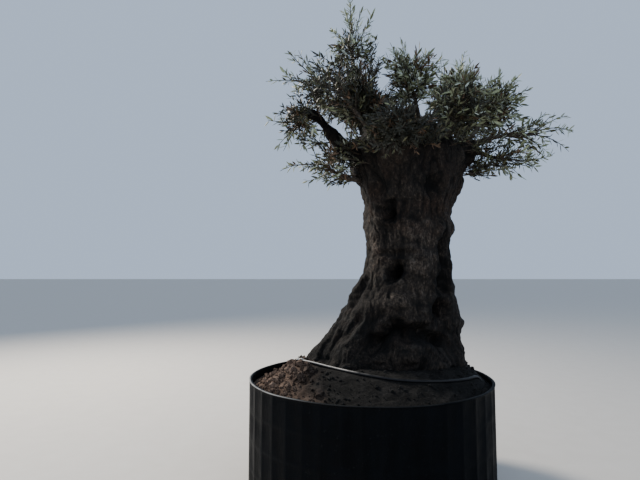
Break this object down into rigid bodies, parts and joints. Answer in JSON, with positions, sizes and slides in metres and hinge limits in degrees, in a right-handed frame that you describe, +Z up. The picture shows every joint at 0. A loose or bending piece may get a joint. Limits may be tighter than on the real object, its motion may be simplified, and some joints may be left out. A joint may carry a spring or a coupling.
{
  "type": "potted olive tree",
  "caption": "Old pollarded olive with a thick gnarled flaring trunk, short stout boughs and a loose silver-green crown, standing in a round black nursery pot with soil and a drip pipe.",
  "frame": {"origin": "centre of the pot's flat underside, where it stands on the ground", "axes": "+Z up, +X to the right and +Y away from the side that the picture shows"},
  "size_m": [2.1968, 1.6453, 3.2738],
  "materials": {
    "bark": "rough fissured bark",
    "foliage": "small leathery leaves, dull green above and silvery below",
    "pot_plastic": "dusty satin black",
    "pipe_plastic": "satin black, scuffed",
    "soil": "dry crumbly earth"
  },
  "bodies": {
    "root": {"trunk": "bark", "left_bough": "bark", "centre_left_bough": "bark", "upper_left_bough": "bark", "centre_bough": "bark", "right_bough": "bark", "back_right_bough": "bark", "back_left_bough": "bark", "left_tip_foliage": "foliage", "left_hanging_foliage": "foliage", "upper_left_foliage": "foliage", "top_foliage": "foliage", "inner_foliage": "foliage", "centre_foliage": "foliage", "right_centre_foliage": "foliage", "right_foliage": "foliage", "far_right_foliage": "foliage", "right_hanging_foliage": "foliage", "front_foliage": "foliage", "front_right_foliage": "foliage", "front_left_foliage": "foliage", "back_left_foliage": "foliage", "back_foliage": "foliage", "back_right_foliage": "foliage", "pot": "pot_plastic", "drip_pipe": "pipe_plastic", "soil": "soil"}
  },
  "joints": []
}
